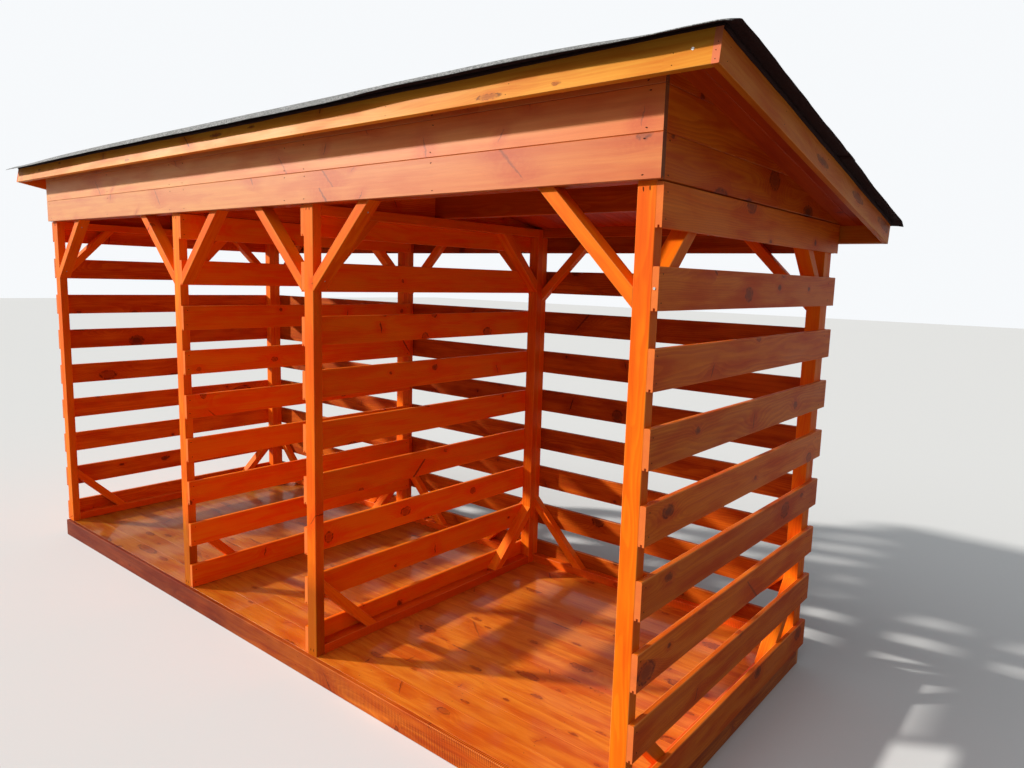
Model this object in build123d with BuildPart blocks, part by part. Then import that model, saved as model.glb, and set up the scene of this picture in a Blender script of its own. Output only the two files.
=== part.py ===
"""Three-bay log store in planed softwood.

Four upright frames stand on a boarded floor and carry a lean-to roof that falls to the back.
X runs along the front, -Y is the open front, +Y the back and +Z up.
The origin is on the ground, at the middle of the rectangle that the roof covering shades.
"""
import os
from math import atan, ceil, cos, sin, sqrt, tan

from build123d import *

# Timber stock, in millimetres
stock_wide = 56
stock_thin = 40
board = 19
board_cover = 114
joint_width = 5

# Bays and frames
side_bay = 1384
middle_bay = 970
frame_depth = 1435
post_height = 1808

# Base and floor
base_height = 95
joist_width = 40
joist_count = 9

# Slatted walls
slat_height = 114
slat_count = 9
slat_clearance = 3
groove_width = 6
groove_depth = 7
slat_arris_width = 3

# Braces at 45 degrees
brace_width = 40
long_reach = 325
short_reach = 280

# Roof
header_height = 276
roof_clearance = 1
front_eave = 100
back_clearance = 8
verge_overhang = 178
fascia_height = 90
front_purlin_depth = 56
stud_spacing = 792
felt = 4
felt_side = 42
felt_front = 54
felt_back = 28
felt_lip = 22
felt_droop = 14
felt_fold = 18

# Slope of the roof, which rises over the header and clears the top slat of the back wall
wall_depth = frame_depth + stock_thin + board
roof_front_height = post_height + header_height
roof_back_height = post_height - slat_clearance + roof_clearance
slope = atan((roof_front_height - roof_back_height) / wall_depth)

# Ends of the roof along its slope, with the back edge board clear of the wall behind it
fascia_drop = fascia_height - board
eave_start = -front_eave / cos(slope)
eave_end = (wall_depth + back_clearance + fascia_drop * sin(slope)) / cos(slope) + board
felt_start = eave_start - felt_front
felt_end = eave_end + felt_back
felt_top = board + felt
shade_front = felt_start * cos(slope) + (board - felt_droop) * sin(slope)
shade_back = felt_end * cos(slope) + felt_top * sin(slope)
front = -(shade_front + shade_back) / 2

# Lines across the depth, from front to back
front_post_back = front + stock_thin
plate_back = front + stock_wide
frame_back = front + frame_depth
back_post_front = frame_back - stock_thin
back_posts_back = frame_back + stock_thin
wall_back = back_posts_back + board
purlin_front = front + (frame_depth - stock_thin) / 2
purlin_back = purlin_front + stock_thin

# Levels, from the ground up
joist_top = base_height - board
floor_top = base_height
sole_top = floor_top + stock_thin
post_top = floor_top + post_height
rail_under = post_top - stock_thin
plate_top = post_top + stock_thin
slat_pitch = (post_height - slat_clearance - slat_height) / (slat_count - 1)

# Faces along the length, from left to right
half_length = (4 * stock_wide + 2 * side_bay + middle_bay) / 2
frame_left = {
    "left": -half_length,
    "division_left": -middle_bay / 2 - stock_wide,
    "division_right": middle_bay / 2,
    "right": half_length - stock_wide,
}
back_bays = [
    (-half_length + stock_wide, -middle_bay / 2 - stock_wide),
    (-middle_bay / 2, middle_bay / 2),
    (middle_bay / 2 + stock_wide, half_length - stock_wide),
]
front_bays = [
    back_bays[0],
    (-middle_bay / 2 + board, middle_bay / 2 - board),
    back_bays[2],
]
verge_inside = half_length + verge_overhang

# Working planes of the roof: along its slope, and square across it
roof_foot = (0, front, floor_top + roof_front_height)
roof_plane = Plane(origin=roof_foot, x_dir=(1, 0, 0), z_dir=(0, sin(slope), cos(slope)))
eave_plane = Plane(origin=roof_foot, x_dir=(1, 0, 0), z_dir=(0, -cos(slope), sin(slope)))
verge_plane = Plane(origin=roof_foot, x_dir=(0, cos(slope), -sin(slope)), z_dir=(1, 0, 0))


def roof_under(y):
    """Level of the underside of the roof boards at a place along Y."""
    return floor_top + roof_front_height - (y - front) * tan(slope)


def joints(low, high):
    """Places of the joints between boards that are laid from low to high."""
    return [low + board_cover * (k + 1) for k in range(ceil((high - low) / board_cover) - 1)]


def cut_joints(places):
    """V-shaped joints between boards, cut into the sketch that is being drawn."""
    side = joint_width / sqrt(2)
    with Locations(*places):
        Rectangle(side, side, rotation=45, mode=Mode.SUBTRACT)


def brace_outline(face, away, bearing, upward, reach):
    """Corners of a brace between a post's face and the rail or sole that it bears on."""
    cut = brace_width * sqrt(2)
    return [
        (face, bearing + upward * reach),
        (face + away * reach, bearing),
        (face + away * (reach - cut), bearing),
        (face, bearing + upward * (reach - cut)),
    ]


def block(x_low, x_high, y_low, y_high, z_low, z_high):
    """Square-sawn timber between six faces."""
    with BuildPart() as timber:
        with BuildSketch(Plane.XY.offset(z_low)):
            with Locations((x_low, y_low)):
                Rectangle(x_high - x_low, y_high - y_low, align=Align.MIN)
        extrude(amount=z_high - z_low)
    return timber


def under_roof(y_low, y_high, z_low):
    """Member along the length with a flat underside and its top planed to the roof's slope."""
    with BuildPart() as member:
        with BuildSketch(Plane.YZ.offset(-half_length)):
            Polygon(
                (y_low, z_low),
                (y_high, z_low),
                (y_high, roof_under(y_high)),
                (y_low, roof_under(y_low)),
                align=None,
            )
        extrude(amount=2 * half_length)
    return member


pieces = {}

# Base: joists inside rim boards
with BuildPart() as base_joists:
    with BuildSketch(Plane.XY):
        with Locations((0, (front + back_posts_back) / 2)):
            joist_pitch = (2 * (half_length - board) - joist_width) / (joist_count + 1)
            with GridLocations(joist_pitch, 0, joist_count, 1):
                Rectangle(joist_width, back_posts_back - front)
    extrude(amount=joist_top)
pieces["base_joists"] = base_joists

pieces["base_rim_front"] = block(
    -half_length, half_length, front - board, front, 0, base_height
)
pieces["base_rim_back"] = block(
    -half_length, half_length, back_posts_back, wall_back, 0, base_height
)
with BuildPart() as base_rim_ends:
    with BuildSketch(Plane.XY):
        with Locations((-half_length, front), (half_length - board, front)):
            Rectangle(board, back_posts_back - front, align=Align.MIN)
    extrude(amount=joist_top)
pieces["base_rim_ends"] = base_rim_ends

# Floor: boards along the front, jointed on their upper face
with BuildPart() as floor_boards:
    with BuildSketch(Plane.YZ.offset(-half_length)):
        with Locations((front, joist_top)):
            Rectangle(back_posts_back - front, board, align=Align.MIN)
        cut_joints([(y, floor_top) for y in joints(front, back_posts_back)])
    extrude(amount=2 * half_length)
pieces["floor_boards"] = floor_boards

# Posts: one pair to each frame, and a back frame post behind each
for side, x_low in frame_left.items():
    x_high = x_low + stock_wide
    pieces[f"front_post_{side}"] = block(
        x_low, x_high, front, front_post_back, floor_top, post_top
    )
    pieces[f"back_post_{side}"] = block(
        x_low, x_high, back_post_front, frame_back, floor_top, post_top
    )
    pieces[f"back_frame_post_{side}"] = block(
        x_low, x_high, frame_back, back_posts_back, sole_top, rail_under
    )

# Soles and rails of the four frames, between their posts
for name, z_low in (("frame_soles", floor_top), ("frame_top_rails", rail_under)):
    with BuildPart() as rails:
        with BuildSketch(Plane.XY.offset(z_low)):
            with Locations(*[(x, front_post_back) for x in frame_left.values()]):
                Rectangle(stock_wide, back_post_front - front_post_back, align=Align.MIN)
        extrude(amount=stock_thin)
    pieces[name] = rails

# Members along the length
pieces["back_sole"] = block(
    -half_length, half_length, frame_back, back_posts_back, floor_top, sole_top
)
pieces["front_plate"] = block(
    -half_length, half_length, front, plate_back, post_top, plate_top
)
pieces["back_plate"] = under_roof(frame_back, back_posts_back, rail_under)
pieces["middle_purlin"] = under_roof(purlin_front, purlin_back, post_top)
front_purlin_under = roof_under(front_post_back) - front_purlin_depth
pieces["front_purlin"] = under_roof(front, front_post_back, front_purlin_under)

# Studs between the front plate and the front purlin, behind the header
stud_middles = [x + stock_wide / 2 for x in frame_left.values()]
stud_middles += [stud_spacing * step for step in (-1.5, -0.5, 0.5, 1.5)]

with BuildPart() as header_studs:
    with BuildSketch(Plane.XY.offset(plate_top)):
        with Locations(*[(x, front) for x in stud_middles]):
            Rectangle(stock_wide, stock_thin, align=(Align.CENTER, Align.MIN))
    extrude(amount=front_purlin_under - plate_top)
pieces["header_studs"] = header_studs

# Braces across the front, from the post or slat face up to the front plate
with BuildPart() as front_knee_braces:
    with BuildSketch(Plane.XZ.offset(-plate_back)):
        for x_low, x_high in front_bays:
            Polygon(*brace_outline(x_low, 1, post_top, -1, long_reach), align=None)
            Polygon(*brace_outline(x_high, -1, post_top, -1, long_reach), align=None)
    extrude(amount=stock_wide)
pieces["front_knee_braces"] = front_knee_braces

# Braces across the back, up to the back plate and down to the back sole
for name, bearing, upward in (
    ("back_knee_braces", rail_under, -1),
    ("back_foot_braces", sole_top, 1),
):
    with BuildPart() as braces:
        with BuildSketch(Plane.XZ.offset(-back_posts_back)):
            for x_low, x_high in back_bays:
                Polygon(*brace_outline(x_low, 1, bearing, upward, long_reach), align=None)
                Polygon(*brace_outline(x_high, -1, bearing, upward, long_reach), align=None)
        extrude(amount=stock_thin)
    pieces[name] = braces

# Braces inside the four frames, up to their rails and down to their soles
for name, bearing, upward in (
    ("frame_knee_braces", rail_under, -1),
    ("frame_foot_braces", sole_top, 1),
):
    with BuildPart() as braces:
        for x_low in frame_left.values():
            with BuildSketch(Plane.YZ.offset(x_low)):
                Polygon(
                    *brace_outline(front_post_back, 1, bearing, upward, short_reach),
                    align=None,
                )
                Polygon(
                    *brace_outline(back_post_front, -1, bearing, upward, short_reach),
                    align=None,
                )
            extrude(amount=stock_wide)
    pieces[name] = braces

# Slat: a grooved board, with a square groove below and eased arrises above
with BuildSketch() as slat_section:
    Rectangle(board, slat_height, align=(Align.CENTER, Align.MIN))
    chamfer(slat_section.vertices().group_by(Axis.Y)[-1], slat_arris_width)
    Rectangle(groove_width, groove_depth, align=(Align.CENTER, Align.MIN), mode=Mode.SUBTRACT)


def slat_wall(plane, across, length):
    """Wall of level slats, drawn on a plane that stands across them."""
    with BuildPart() as wall:
        with BuildSketch(plane):
            with Locations(*[(across, floor_top + slat_pitch * k) for k in range(slat_count)]):
                add(slat_section.sketch)
        extrude(amount=length)
    return wall


slat_faces = {
    "slats_left": (-half_length - board / 2, wall_back),
    "slats_right": (half_length + board / 2, wall_back),
    "slats_division_left": (-middle_bay / 2 + board / 2, frame_back),
    "slats_division_right": (middle_bay / 2 - board / 2, frame_back),
}
for name, (x_middle, y_high) in slat_faces.items():
    pieces[name] = slat_wall(Plane.XZ.offset(-y_high), x_middle, y_high - front)
pieces["slats_back"] = slat_wall(
    Plane.YZ.offset(-half_length), back_posts_back + board / 2, 2 * half_length
)

# Header: boards over the open front, jointed on their front face
wall_joints = joints(post_top, floor_top + roof_front_height)

with BuildPart() as header_boards:
    with BuildSketch(Plane.YZ.offset(-half_length - board)):
        with Locations((front - board, post_top)):
            Rectangle(board, roof_under(front - board) - post_top, align=Align.MIN)
        cut_joints([(front - board, z) for z in wall_joints])
    extrude(amount=2 * (half_length + board))
    split(bisect_by=roof_plane, keep=Keep.BOTTOM)
pieces["header_boards"] = header_boards


def boards_over_slats(faces, spans):
    """Level boards in line with the slats, from the frame's top up to the roof."""
    with BuildPart() as infill:
        for x_inner, outward in faces:
            for y_low, y_high in spans:
                with BuildSketch(Plane.XZ.offset(-y_high)):
                    with Locations((x_inner + outward * board / 2, post_top)):
                        Rectangle(board, header_height, align=(Align.CENTER, Align.MIN))
                    cut_joints([(x_inner + outward * board, z) for z in wall_joints])
                extrude(amount=y_high - y_low)
        split(bisect_by=roof_plane, keep=Keep.BOTTOM)
    return infill


gable_span = [(front, wall_back)]
division_spans = [(plate_back, purlin_front), (purlin_back, frame_back)]
division_faces = [(-middle_bay / 2, 1), (middle_bay / 2, -1)]
pieces["gable_left"] = boards_over_slats([(-half_length, -1)], gable_span)
pieces["gable_right"] = boards_over_slats([(half_length, 1)], gable_span)
pieces["division_infill"] = boards_over_slats(division_faces, division_spans)

# Roof boards: laid down the slope side by side, jointed on their underside
with BuildPart() as roof_boards:
    with BuildSketch(eave_plane.offset(board - eave_end)):
        Rectangle(2 * verge_inside, board, align=(Align.CENTER, Align.MIN))
        cut_joints([(x, 0) for x in joints(-verge_inside, verge_inside)])
    extrude(amount=eave_end - eave_start - 2 * board)
pieces["roof_boards"] = roof_boards

# Edge boards of the roof, flush with the top of its boards and square to its slope
for name, lower_end in (("fascia_front", eave_start + board), ("fascia_back", eave_end)):
    with BuildPart() as fascia:
        with BuildSketch(eave_plane.offset(-lower_end)):
            with Locations((0, board)):
                Rectangle(2 * verge_inside, fascia_height, align=(Align.CENTER, Align.MAX))
        extrude(amount=board)
    pieces[name] = fascia

for name, x_low in (("verge_left", -verge_inside - board), ("verge_right", verge_inside)):
    with BuildPart() as verge:
        with BuildSketch(eave_plane.offset(-eave_end)):
            with Locations((x_low, board)):
                Rectangle(board, fascia_height, align=(Align.MIN, Align.MAX))
        extrude(amount=eave_end - eave_start)
    pieces[name] = verge

# Roofing felt: a sheet past all four edges that droops along the front, over strips
# that are folded down on the front and side edge boards
verge_outside = verge_inside + board
with BuildPart() as roofing_felt:
    with BuildSketch(verge_plane.offset(-verge_outside - felt_side)):
        Polygon(
            (felt_start, board - felt_droop),
            (felt_start + felt_lip, board),
            (felt_end, board),
            (felt_end, felt_top),
            (felt_start + felt_lip, felt_top),
            (felt_start, felt_top - felt_droop),
            align=None,
        )
    extrude(amount=2 * (verge_outside + felt_side))
    with BuildSketch(eave_plane.offset(-eave_start)):
        with Locations((0, board - felt_fold)):
            Rectangle(2 * (verge_outside + felt), felt_fold, align=(Align.CENTER, Align.MIN))
    extrude(amount=felt)
    with BuildSketch(eave_plane.offset(-eave_end)):
        for outward in (-1, 1):
            with Locations((outward * (verge_outside + felt / 2), board - felt_fold)):
                Rectangle(felt, felt_fold, align=(Align.CENTER, Align.MIN))
    extrude(amount=eave_end - eave_start)
pieces["roofing_felt"] = roofing_felt

os.makedirs("parts", exist_ok=True)
for name, piece in pieces.items():
    piece.part.label = name
    export_step(piece.part, f"parts/{name}.step")
    print(name, len(piece.part.solids()))
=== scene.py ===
# %% [markdown]
# # A log store in stained softwood
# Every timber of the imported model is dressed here: it gets its eased arrises, its joints,
# its grain and its fixings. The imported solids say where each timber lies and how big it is,
# so this file never measures anything twice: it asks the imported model.

import random
from functools import partial
from math import ceil, cos, degrees, pi, radians, sin

import bmesh
import bpy
from mathutils import Matrix, Vector


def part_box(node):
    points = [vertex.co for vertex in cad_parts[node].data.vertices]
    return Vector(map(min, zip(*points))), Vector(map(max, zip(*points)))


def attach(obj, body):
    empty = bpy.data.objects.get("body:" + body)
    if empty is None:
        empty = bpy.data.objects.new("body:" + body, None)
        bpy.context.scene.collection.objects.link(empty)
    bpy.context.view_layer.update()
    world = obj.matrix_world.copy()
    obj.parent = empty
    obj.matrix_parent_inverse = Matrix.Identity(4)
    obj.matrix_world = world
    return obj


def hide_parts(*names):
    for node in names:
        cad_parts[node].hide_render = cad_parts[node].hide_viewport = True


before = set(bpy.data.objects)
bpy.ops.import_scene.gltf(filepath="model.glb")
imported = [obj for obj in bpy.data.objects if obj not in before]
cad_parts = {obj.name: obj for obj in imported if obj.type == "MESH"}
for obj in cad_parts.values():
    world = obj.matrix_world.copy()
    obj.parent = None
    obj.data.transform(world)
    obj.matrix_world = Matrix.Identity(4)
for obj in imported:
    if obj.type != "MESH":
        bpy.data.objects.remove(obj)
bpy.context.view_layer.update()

# %% [markdown]
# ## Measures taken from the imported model
# A box round a node gives a level or a face line. The roof's slope is square to no axis,
# so it is read from the roof boards themselves: their widest faces look along the roof's
# normal, and the lowest of their corners along that normal lie on the underside.

# %% Levels and faces
MM = 0.001
X, Y, Z = Vector((1, 0, 0)), Vector((0, 1, 0)), Vector((0, 0, 1))

floor_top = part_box("floor_boards")[1].z
post_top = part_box("front_post_right")[1].z
half_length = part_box("floor_boards")[1].x
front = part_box("floor_boards")[0].y
base_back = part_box("floor_boards")[1].y
wall_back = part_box("slats_right")[1].y
frame_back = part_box("slats_division_right")[1].y
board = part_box("slats_back")[1].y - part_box("slats_back")[0].y
post_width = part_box("front_post_right")[1].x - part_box("front_post_right")[0].x
post_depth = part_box("front_post_right")[1].y - front
sides = ("left", "division_left", "division_right", "right")
post_middles = [sum(corner.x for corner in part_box(f"front_post_{side}")) / 2 for side in sides]
print("floor at", round(floor_top, 4), "posts up to", round(post_top, 4), "at", post_middles)

# %% The roof's own axes
up_normal = Vector((0, 0, 0))
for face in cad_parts["roof_boards"].data.polygons:
    if face.normal.z > 0.9:
        up_normal += face.normal * face.area
roof_up = up_normal.normalized()
downhill = Vector((0, roof_up.z, -roof_up.y))
roof_corners = [v.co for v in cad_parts["roof_boards"].data.vertices]
roof_under = min(v.dot(roof_up) for v in roof_corners)
roof_over = max(v.dot(roof_up) for v in roof_corners)
slope_start = min(v.dot(downhill) for v in roof_corners)
slope_end = max(v.dot(downhill) for v in roof_corners)
verge_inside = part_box("roof_boards")[1].x


def on_roof(x, along, above):
    """A place given along the slope and above the underside of the roof boards."""
    return Vector((x, 0, 0)) + downhill * along + roof_up * (roof_under + above)


print("roof slope in degrees:", round(degrees(roof_up.angle(Z)), 2))

# %% [markdown]
# ## Camera
# The camera stands where the photograph was taken: close to the right-hand corner, at eye
# height, with a wide lens that looks slightly down. Its axes are written out from its
# turn, its dip and its small lean, and become the columns of its matrix.

# %% Camera at the photograph's viewing angle
CAMERA_PLACE = Vector((2.9193, front - 1.7066, 1.6457))
TURN, DIP, LEAN = 0.6841, 0.1410, 0.0284

looks_along = Vector((-sin(TURN) * cos(DIP), cos(TURN) * cos(DIP), -sin(DIP)))
level_right = Vector((cos(TURN), sin(TURN), 0))
level_up = level_right.cross(looks_along)
camera_right = level_right * cos(LEAN) + level_up * sin(LEAN)
camera_up = level_up * cos(LEAN) - level_right * sin(LEAN)

camera_data = bpy.data.cameras.new("camera")
camera_data.lens = 26.0
camera_data.sensor_width = 36.0
camera = bpy.data.objects.new("camera", camera_data)
columns = Matrix((camera_right, camera_up, -looks_along)).transposed().to_4x4()
camera.matrix_world = Matrix.Translation(CAMERA_PLACE) @ columns
bpy.context.scene.collection.objects.link(camera)
bpy.context.scene.camera = camera
print("camera looks along", [round(v, 3) for v in looks_along])

# %% [markdown]
# ## Reckoning with node outputs
# A material is a small program of nodes. Written out link by link it is long and hard to
# read, so an output is wrapped as a wire here. A sign between two wires, or between a wire
# and a number, adds the node that works it out, and a formula reads like a formula.

# %% Wires
class Wire:
    """One output of a node. Signs such as + and * between wires add nodes to their tree."""

    def __init__(self, socket):
        self.socket, self.tree = socket, socket.id_data

    def __abs__(self):
        return reckon("ABSOLUTE", self)

    def __gt__(self, other):
        return reckon("GREATER_THAN", self, other)

    def __lt__(self, other):
        return reckon("LESS_THAN", self, other)


class Outputs:
    """The outputs of a node by name or number, as wires."""

    def __init__(self, sockets):
        self.sockets = sockets

    def __getitem__(self, key):
        return Wire(self.sockets[key])


def add_node(tree, kind, inputs=None, **settings):
    """Adds one node and hands back its outputs. A key of inputs is a socket's name or number;
    its value is a number, a colour, a wire, or a list of wires where a socket takes many."""
    node = tree.nodes.new(kind)
    for key, value in settings.items():
        setattr(node, key, value)
    for key, value in (inputs or {}).items():
        if isinstance(value, (Wire, list)):
            for wire in value if isinstance(value, list) else [value]:
                tree.links.new(wire.socket, node.inputs[key])
        else:
            node.inputs[key].default_value = value
    return Outputs(node.outputs)


def tree_of(*values):
    """The tree of the first wire among some values."""
    return next(value.tree for value in values if isinstance(value, Wire))


def reckon(operation, *values):
    """One step of arithmetic, with vectors and colours as well as with numbers."""
    long = any(isinstance(v, Wire) and v.socket.type in {"VECTOR", "RGBA"} for v in values)
    kind = "ShaderNodeVectorMath" if long else "ShaderNodeMath"
    node = add_node(tree_of(*values), kind, dict(enumerate(values)), operation=operation)
    return node["Value" if operation == "LENGTH" else 0]


# Each sign is a method of the class, and the one with an r has the wire on its right
for sign, operation in (("add", "ADD"), ("sub", "SUBTRACT"), ("mul", "MULTIPLY"),
                        ("truediv", "DIVIDE"), ("pow", "POWER")):
    setattr(Wire, f"__{sign}__", lambda a, b, step=operation: reckon(step, a, b))
    setattr(Wire, f"__r{sign}__", lambda a, b, step=operation: reckon(step, b, a))
print("wires understand + - * / ** > < and abs()")

# %% Vectors, ramps, mixes and noise
def vector(*values):
    """Three numbers or wires as one vector."""
    return add_node(tree_of(*values), "ShaderNodeCombineXYZ", dict(enumerate(values)))[0]


def parts(wire):
    """The three parts of a vector or a colour."""
    kind = "ShaderNodeSeparateColor" if wire.socket.type == "RGBA" else "ShaderNodeSeparateXYZ"
    return add_node(wire.tree, kind, {0: wire})


def ramp(value, low, high, to_low=0.0, to_high=1.0):
    """Eases from one value to another while the input goes from low to high."""
    sockets = {0: value, 1: low, 2: high, 3: to_low, 4: to_high}
    return add_node(value.tree, "ShaderNodeMapRange", sockets, interpolation_type="SMOOTHSTEP")[0]


def mix_colour(share, first, second, blend="MIX"):
    """Mixes two colours."""
    return add_node(tree_of(share, first, second), "ShaderNodeMix", {0: share, 6: first, 7: second},
                    data_type="RGBA", blend_type=blend)[2]


def mix_value(share, first, second):
    """Mixes two numbers."""
    return add_node(share.tree, "ShaderNodeMix", {0: share, 2: first, 3: second})[0]


def noise(place, detail=2.0, roughness=0.5, scale=1.0):
    """Soft clouds, with finer clouds in them when the detail is higher."""
    return add_node(place.tree, "ShaderNodeTexNoise", {"Vector": place, "Scale": scale,
                    "Detail": detail, "Roughness": roughness})


def drawn(number):
    """Three random numbers that belong to a number."""
    white = add_node(number.tree, "ShaderNodeTexWhiteNoise", {"W": number}, noise_dimensions="1D")
    return parts(white["Color"])


def stretched(place, along, across, shift):
    """A place on a board for long, thin noise: its scale along the grain and across it."""
    return vector(place[0] * along + shift, place[1] * across, place[2] * across)


print("helpers for vectors, ramps, mixes and noise ready")

# %% Node groups
FLOAT, VECTOR, COLOUR = "NodeSocketFloat", "NodeSocketVector", "NodeSocketColor"
WHOLE, GEOMETRY, MATERIAL = "NodeSocketInt", "NodeSocketGeometry", "NodeSocketMaterial"


def new_group(name, kind, inputs, outputs):
    """Starts a node group with named inputs and outputs."""
    tree = bpy.data.node_groups.new(name, kind)
    for label, (socket_type, default) in inputs.items():
        socket = tree.interface.new_socket(label, in_out="INPUT", socket_type=socket_type)
        if default is not None:
            socket.default_value = default
    for label, socket_type in outputs.items():
        tree.interface.new_socket(label, in_out="OUTPUT", socket_type=socket_type)
    entry = Outputs(tree.nodes.new("NodeGroupInput").outputs)
    return tree, entry, tree.nodes.new("NodeGroupOutput").inputs


def send(exits, results):
    """Joins wires to the outputs of a group."""
    for label, wire in results.items():
        wire.tree.links.new(wire.socket, exits[label])


def place_group(tree, group, values):
    """Puts a group into a tree with the given values."""
    return add_node(tree, "ShaderNodeGroup", values, node_tree=group)


print("node groups can be started and placed")

# %% [markdown]
# ## Knots
# A knot is a branch that grew through the trunk, so a board shows it as a dark spot with a
# darker rim, or as a long spike where the saw ran along the branch. A grid of cells, one
# knot at most in each, gives such spots: the cells are long along the board, so the knots
# keep apart as whorls of branches do. Voronoi cells also tell every point how far it is
# from its knot, and that distance shapes the core, the rim, the stained halo round it and
# the push that bends the grain aside. Every board has a number of its own, and a large
# multiple of it shifts the pattern, so that no two boards look alike.

# %% Shader group: where the knots lie
CELL_WIDTH = 0.11
NO_KNOT = 1000.0

knots, given, out = new_group(
    "knots",
    "ShaderNodeTree",
    {
        "Place": (VECTOR, None),
        "Board": (FLOAT, 0.0),
        "Spacing": (FLOAT, 0.4),
        "Size": (FLOAT, 0.014),
        "Share": (FLOAT, 0.7),
        "Shrink along": (FLOAT, 0.8),
        "Spikes": (FLOAT, 0.4),
    },
    {"Core": FLOAT, "Rim": FLOAT, "Halo": FLOAT, "Push": FLOAT, "Split": FLOAT},
)
place = parts(given["Place"])
cell_place = vector(place[0] / given["Spacing"] + given["Board"] * 317.3,
                    place[1] / CELL_WIDTH + given["Board"] * 91.7, 0.0)
cells = add_node(knots, "ShaderNodeTexVoronoi", {"Vector": cell_place, "Scale": 1.0,
                 "Randomness": 0.85}, voronoi_dimensions="2D")
chance = parts(cells["Color"])
away = (cell_place - cells["Position"]) * vector(given["Spacing"], CELL_WIDTH, 0.0)
bent = noise(vector(0.0, 0.0, given["Board"] * 23.0) + given["Place"], 3.0, 0.6, 75.0)
rough_edge = (bent["Color"] - (0.5, 0.5, 0.5)) * (0.016, 0.011, 0.0)
radius = given["Size"] * (chance[0] * chance[0] * 1.3 + 0.3)
missing = (chance[1] > given["Share"]) * NO_KNOT
is_spike = chance[2] < given["Spikes"]
print("knot cells:", CELL_WIDTH, "m across")

# %% Shader group: how a knot looks
# A knot cut across: an oval that grows outwards from its middle
offset = parts(away + rough_edge)
oval = vector(offset[0] * (given["Shrink along"] * (chance[2] + 0.6)), offset[1], 0.0)
oval = reckon("LENGTH", oval) / radius

# A knot cut lengthways: a thin spike across the board, slanted and pointed at both ends
calm = parts(away + rough_edge * (1.1, 0.5, 0.0))
slant = calm[1] * ((chance[0] - 0.5) * 2.6)
toward_tip = calm[1] / (radius * 2.6)
taper = reckon("MAXIMUM", 0.02, 1.0 - toward_tip * toward_tip)
spike = abs(calm[0] + slant) / ((radius * 0.30 + 0.0010) * taper)

distance = mix_value(is_spike, oval, spike) + missing
core = ramp(distance, 0.45, 1.15, 1.0, 0.0) * (chance[1] * 0.9 + 0.45)
rim = ramp(distance, 0.7, 0.95) * ramp(distance, 1.0, 1.3, 1.0, 0.0)
rim = rim * (1.0 - is_spike) * ramp(bent["Fac"], 0.35, 0.6, 0.15, 1.0)
wide = vector((calm[0] + slant * is_spike) * 0.34, calm[1] * mix_value(is_spike, 0.55, 0.3), 0.0)
wide = reckon("LENGTH", wide) / radius + missing
reach = oval + missing
send(out, {
    "Core": core,
    "Rim": rim,
    "Halo": ramp(wide, 0.3, 2.1, 1.0, 0.0) * ramp(bent["Fac"], 0.3, 0.6, 0.6, 1.0),
    "Push": 2.718 ** (reach * reach / -6.0) * (radius * 1.3),
    "Split": ramp(spike + missing, 0.1, 0.45, 1.0, 0.0) * is_spike,
})
print("knots group:", len(knots.nodes), "nodes")

# %% [markdown]
# ## Growth rings
# Saw a log lengthways and the rings show as long lines, and as pointed arches where the
# saw skims a ring. That needs no drawing: it is enough to know how far a point lies from
# the heart of the log. Every board gets a heart line of its own beside or below it, the
# line wanders a little, and one sawtooth per ring of that distance gives the pattern on
# the faces, the edges and the sawn ends at once.

# %% Shader group: growth rings
rings, given, out = new_group(
    "growth rings",
    "ShaderNodeTree",
    {
        "Place": (VECTOR, None),
        "Board": (FLOAT, 0.0),
        "Ring width": (FLOAT, 0.005),
        "Push": (FLOAT, 0.0),
    },
    {"Late wood": FLOAT, "Broad": FLOAT},
)
heart = drawn(given["Board"] * 713.0)
place = parts(given["Place"])
shift = given["Board"] * 57.0
wander = parts(noise(stretched(place, 1.6, 7.0, shift), 2.0, 0.45)["Color"])
ragged = noise(stretched(place, 9.0, 45.0, shift))["Fac"]
from_side = place[1] - (heart[0] - 0.5) * 0.16 + (wander[0] - 0.5) * 0.07
from_below = place[2] + (heart[1] * 0.09 + 0.016) + (wander[1] - 0.5) * 0.035
from_heart = reckon("LENGTH", vector(from_side, from_below, 0.0)) + given["Push"] + ragged * 0.0035
year = reckon("FRACT", from_heart / given["Ring width"])
broad = add_node(rings, "ShaderNodeTexNoise", {"W": from_heart * 90.0, "Scale": 1.0, "Detail": 2.0},
                 noise_dimensions="1D")["Fac"]
send(out, {"Late wood": ramp(year, 0.15, 0.85) * ramp(year, 0.88, 1.0, 1.0, 0.0), "Broad": broad})
print("growth rings group:", len(rings.nodes), "nodes")
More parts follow.
